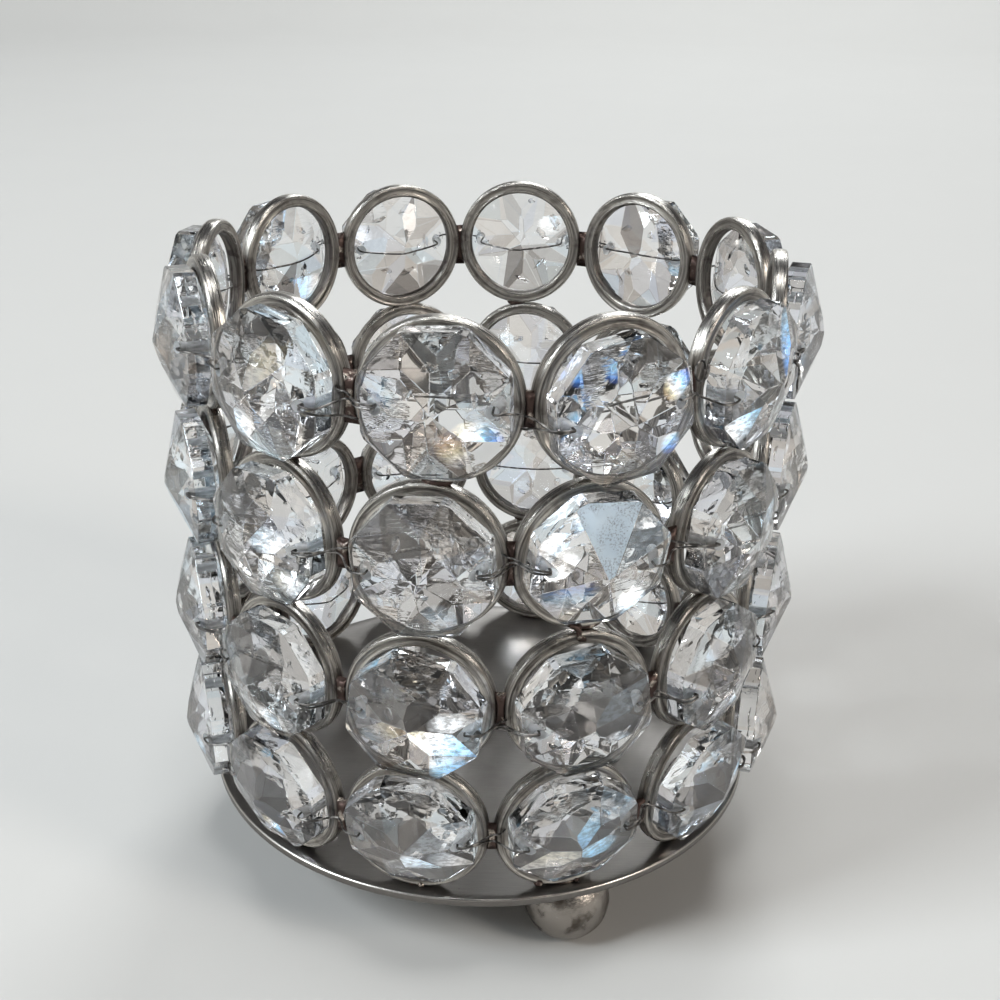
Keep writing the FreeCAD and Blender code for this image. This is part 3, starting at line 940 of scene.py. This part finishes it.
def make_tube(bm, points, radius, sides=7):
    """A round wire along the points."""
    path = []
    up = UP
    for i, point in enumerate(points):
        goes = (points[min(i + 1, len(points) - 1)] - points[max(i - 1, 0)]).normalized()
        across = goes.cross(up)
        if across.length < 0.05:
            across = goes.cross(Vector((1, 0, 0)))
        across.normalize()
        up = across.cross(goes).normalized()
        path.append((point, across, up))
    sweep(bm, path, rounded_section(radius, radius, sides, 2.0), False)


def tie_half(row, column, side, lift):
    """From inside a bead's hole, round its mouth and over the bead's edge. The side is -1 (left) or 1 (right)."""
    grid = seat(row, column)
    spots = [
        (HOLE_OFFSET, 0, 0),
        (HOLE_OFFSET + 0.05 * MM, lift * 0.6, HOLE_MOUTH - 0.25 * MM),
        (HOLE_OFFSET + 0.36 * MM, lift, HOLE_MOUTH + 0.08 * MM),
        (BEAD_ACROSS / 2 + 0.1 * MM, lift * 1.3, HALF_GIRDLE + 0.16 * MM),
    ]
    return [grid @ Vector((side * x, y, z)) for x, y, z in spots]


def tie_across(row, column, chance):
    """A strand from one bead's right hole, in front of the solder, into the next bead's left hole."""
    leave = tie_half(row, column, 1, chance.uniform(-0.3, 0.3) * MM)
    arrive = tie_half(row, column % COLUMNS + 1, -1, chance.uniform(-0.3, 0.3) * MM)
    crossing = place(row, column + 0.5, JOINT_OUT) @ Vector((0, 0, RING_DEEP / 2 + chance.uniform(0.15, 0.5) * MM))
    crossing.z = (leave[-1].z + arrive[-1].z) / 2 + chance.uniform(-0.5, 0.3) * MM
    return smooth_path(leave + [crossing] + arrive[::-1], 6)


def tie_round(row, column, side, chance):
    """A strand from a bead's hole over the bead's edge and round behind the joint."""
    leave = tie_half(row, column, side, chance.uniform(-0.35, 0.35) * MM)
    joint = place(row, column + side * 0.5, JOINT_OUT)
    level = (joint.inverted() @ leave[-1]).y + chance.uniform(-0.6, 0.6) * MM
    past = side * chance.uniform(0.2, 1.0) * MM
    turns = [
        (-0.2 * side * MM, level, 1.2 * MM),
        (past, level * 1.1, 0.95 * MM),
        (past + side * 0.7 * MM, level * 1.2, 0),
    ]
    return smooth_path(leave + [joint @ Vector(turn) for turn in turns], 6)


def tie_behind(row, column, lift, chance):
    """A strand behind one bead, from its left hole to its right hole."""
    grid = seat(row, column)
    level = -HALF_GIRDLE
    back = level - BEAD_CROWN * 0.93
    h = HOLE_OFFSET
    spots = [
        (-h, 0, 0),
        (-h, lift * 0.6, level - 0.5 * MM),
        (-h + 1.0 * MM, lift, level - 1.3 * MM),
        (-1.6 * MM, lift * 1.6, back),
        (chance.uniform(0, 1.2) * MM, lift * 2.0, back - 0.28 * MM),
        (h - 1.0 * MM, lift, level - 1.3 * MM),
        (h, lift * 0.6, level - 0.5 * MM),
        (h, 0, 0),
    ]
    return smooth_path([grid @ Vector(spot) for spot in spots], 6)


def make_tie_wires(finish):
    chance = random.Random(21)
    bm = bmesh.new()
    for row, column in every_ring():
        make_tube(bm, tie_across(row, column, chance), TIE_RADIUS)
        make_tube(bm, tie_round(row, column, chance.choice((-1, 1)), chance), TIE_RADIUS)
        make_tube(bm, tie_behind(row, column, chance.uniform(-0.45, 0.45) * MM, chance), TIE_RADIUS)
    for row, column, side in ((1, 3, 1), (3, 12, -1), (2, 6, 1)):
        make_tube(bm, loose_end(row, column, side), TIE_RADIUS)
    make_tube(bm, small_loop(1, 2), TIE_RADIUS)
    new_piece("tie_wire_runs", to_mesh(bm, "tie_wire_runs"), [finish], "tie_wire", "tie_wires")


def loose_end(row, column, side):
    """The cut end of a wire, left sticking out of a hole and down."""
    grid = seat(row, column)
    h = side * HOLE_OFFSET
    spots = [(1.0, 0.1, -0.5), (1.03, -0.4, 0.3), (1.14, -1.4, 0.2), (1.22, -2.7, -0.1), (1.18, -3.6, 0.1)]
    return smooth_path([grid @ Vector((h * x, y * MM, HOLE_MOUTH + z * MM)) for x, y, z in spots], 6)


def small_loop(row, column):
    """A turn of spare wire standing off the joint to the right of a bead."""
    grid = place(row, column + 0.5, JOINT_OUT + RING_DEEP / 2)
    points = []
    for i in range(30):
        turn = math.tau * i / 26
        spot = Vector((0.75 * math.cos(turn), 2.0 + 0.95 * math.sin(turn), 0.30 + 0.02 * i))
        points.append(grid @ (spot * MM))
    return points


# ---- plate and feet


def lathe(bm, profile, steps, warp=None):
    """Faces of an open outline of (radius, height) pairs turned about the upright axis."""
    rings = []
    for i in range(steps):
        turn = math.tau * i / steps
        ring = []
        for radius, height in profile:
            point = Vector((radius * math.cos(turn), radius * math.sin(turn), height))
            ring.append(bm.verts.new(warp(point) if warp else point))
        rings.append(ring)
    for i in range(steps):
        here, there = rings[i], rings[(i + 1) % steps]
        for j in range(len(profile) - 1):
            bm.faces.new((here[j], there[j], there[j + 1], here[j + 1]))
    return rings


def make_plate(finish):
    """A round sheet with a blunted rim. Its upper side is pressed in a little here and there."""
    low, high, radius = PLATE_LOW.z, PLATE_HIGH.z, PLATE_RADIUS
    edge = 0.22 * MM
    upper = [(radius * share, high) for share in (0.02, 0.25, 0.5, 0.75, 0.9, 0.965)]
    rim = [(radius - edge, high), (radius - edge * 0.3, high - edge * 0.3), (radius, high - edge)]
    rim += [(radius, low + edge), (radius - edge * 0.3, low + edge * 0.3), (radius - edge, low)]
    lower = [(r, low) for r, _ in reversed(upper)]

    def warp(point):
        share = min(1.0, math.hypot(point.x, point.y) / radius)
        pressed = 0.06 * MM * share * max(0.0, wobble(point, 14 * MM, 3))
        return point - Vector((0, 0, pressed * (point.z > high - edge)))

    bm = bmesh.new()
    rings = lathe(bm, upper + rim + lower, 180, warp)
    bm.faces.new([ring[0] for ring in rings])
    bm.faces.new([ring[-1] for ring in reversed(rings)])
    mesh = to_mesh(bm, "round_plate")
    # The top edge of the rim is marked for the painted highlight.
    painted_rim_highlight = mesh.attributes.new("rim", "FLOAT", "POINT")
    for i, vertex in enumerate(mesh.vertices):
        at_rim = math.hypot(vertex.co.x, vertex.co.y) > radius - edge * 0.9 and vertex.co.z > high - edge * 0.9
        painted_rim_highlight.data[i].value = 1.0 if at_rim else 0.0
    for face in mesh.polygons:
        face.use_smooth = len(face.vertices) == 4
    new_piece("round_plate", mesh, [finish], "base_plate", "base_plate")


def make_foot(name, node, finish, seed):
    """A thin metal ball, dented, with a small flat above and below."""
    low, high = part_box(node)
    middle = (low + high) / 2
    tall = (high.z - low.z) / 2
    wide = (high.x - low.x) / 2 * 0.985
    bm = bmesh.new()
    bmesh.ops.create_uvsphere(bm, u_segments=56, v_segments=36, radius=1.0)
    turns = [seed + k * 2.1 for k in range(5)]
    dents = [Vector((math.cos(t), math.sin(t), 0.5 - 0.33 * k)).normalized() for k, t in enumerate(turns)]
    for vertex in bm.verts:
        at = vertex.co.copy()
        push = 0.012 * wobble(at, 0.35, seed) - 0.010
        for k, dent in enumerate(dents):
            near = max(0.0, 1 - (at - dent).length / (0.38 + 0.05 * k))
            push -= 0.05 * near * near
        at *= 1 + push
        height = max(-tall, min(tall, at.z * wide))
        vertex.co = middle + Vector((at.x * wide, at.y * wide, height))
    new_piece(name, to_mesh(bm, name), [finish], "ball_foot", node)


# ---- studio


def pale_floor():
    finish = Finish("pale_floor", Roughness=0.75)
    colour = (0.56, 0.545, 0.52)
    darker = tuple(c * 0.97 for c in colour)
    return finish.wear(Base_Color=finish.blend(finish.speckle(finish.spot(), 60.0), darker, colour))


def make_floor():
    """A level floor that rises all round, far off, into a low pale wall."""
    profile = [(0.001, 0.0), (0.3, 0.0), (0.7, 0.0), (1.0, 0.0)]
    for i in range(1, 13):
        turn = math.radians(90 * i / 12)
        profile.append((1.0 + 0.5 * math.sin(turn), 0.5 - 0.5 * math.cos(turn)))
    bm = bmesh.new()
    rings = lathe(bm, profile, 96)
    bm.faces.new([ring[0] for ring in rings])
    bmesh.ops.recalc_face_normals(bm, faces=bm.faces[:])
    floor = new_object("floor", to_mesh(bm, "floor"))
    floor.data.materials.append(pale_floor())
    floor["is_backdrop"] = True


def make_world():
    """A studio room: pale near the level of the floor, dim overhead."""
    world = bpy.data.worlds.new("studio")
    bpy.context.scene.world = world
    world.use_nodes = True
    tree = world.node_tree
    sky = next(n for n in tree.nodes if n.type == "BACKGROUND")
    spot = tree.nodes.new("ShaderNodeTexCoord")
    parts = tree.nodes.new("ShaderNodeSeparateXYZ")
    tree.links.new(spot.outputs["Generated"], parts.inputs[0])
    ramp = tree.nodes.new("ShaderNodeValToRGB")
    stops = ((0.20, (0.50, 0.49, 0.48, 1.0)), (0.50, (0.055, 0.057, 0.064, 1.0)))
    for element, (level, colour) in zip(ramp.color_ramp.elements, stops):
        element.position = level
        element.color = colour
    tree.links.new(parts.outputs["Z"], ramp.inputs["Fac"])
    tree.links.new(ramp.outputs["Color"], sky.inputs["Color"])
    sky.inputs["Strength"].default_value = 1.0


def make_lamp(name, spot, aim, size, power, colour):
    lamp = bpy.data.lights.new(name, "AREA")
    lamp.shape = "RECTANGLE"
    lamp.size, lamp.size_y = size
    lamp.energy = power
    lamp.color = colour
    holder = new_object(name, lamp)
    holder.location = spot
    holder.rotation_euler = (Vector(aim) - Vector(spot)).to_track_quat("-Z", "Y").to_euler()


def make_lamps():
    aim = (0, 0, 0.03)
    make_lamp("window_left", (-1.05, -0.45, 0.95), aim, (0.45, 0.60), 19.0, (0.86, 0.94, 1.0))
    make_lamp("soft_right", (1.10, -0.65, 0.80), aim, (0.30, 0.45), 7.0, (1.0, 0.94, 0.87))
    make_lamp("soft_back", (0.25, 1.20, 0.90), aim, (0.55, 0.25), 10.0, (0.92, 0.97, 1.0))
    make_lamp("soft_above", (0.0, -0.10, 1.45), aim, (0.40, 0.40), 7.0, (0.97, 0.99, 1.0))


def make_camera():
    """The photograph's viewpoint, found by fitting the ring outlines."""
    distance, pitch, roll = 0.164765, math.radians(26.393), math.radians(1.346)
    aim = Vector((0.001966, 0.0, 0.034416))
    focal_pixels, picture_pixels = 1347.945, 1000
    forward = Vector((0, math.cos(pitch), -math.sin(pitch)))
    right, up = Vector((1, 0, 0)), Vector((0, math.sin(pitch), math.cos(pitch)))
    rolled_right = right * math.cos(roll) + up * math.sin(roll)
    rolled_up = up * math.cos(roll) - right * math.sin(roll)
    lens = bpy.data.cameras.new("viewpoint")
    lens.sensor_width = 36.0
    lens.lens = focal_pixels * lens.sensor_width / picture_pixels
    lens.shift_y = 0.06
    lens.clip_start = 0.005
    camera = new_object("viewpoint", lens)
    grid = Matrix((rolled_right, rolled_up, -forward)).transposed().to_4x4()
    grid.translation = aim - forward * distance
    camera.matrix_world = grid
    bpy.context.scene.camera = camera


# ---- the holder

bead_finishes = [clear_glass(), frosted_hole(), milky_facet()]
for row, column in every_ring():
    make_bead(row, column, bead_finishes)
make_ring_rows(drawn_wire())
make_solder(flowed_solder())
make_tie_wires(thin_tie_wire())
make_plate(satin_sheet())
ball = dented_ball()
for seed, side in enumerate(("front", "rear_right", "rear_left"), start=1):
    make_foot(f"ball_{side}", f"foot_{side}", ball, seed)
make_floor()
make_world()
make_lamps()
make_camera()
bpy.context.scene.view_settings.view_transform = "Standard"

boxes = {"cad": cad_box, "visual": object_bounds()}
{label: [list(corner) for corner in corners] for label, corners in boxes.items()}
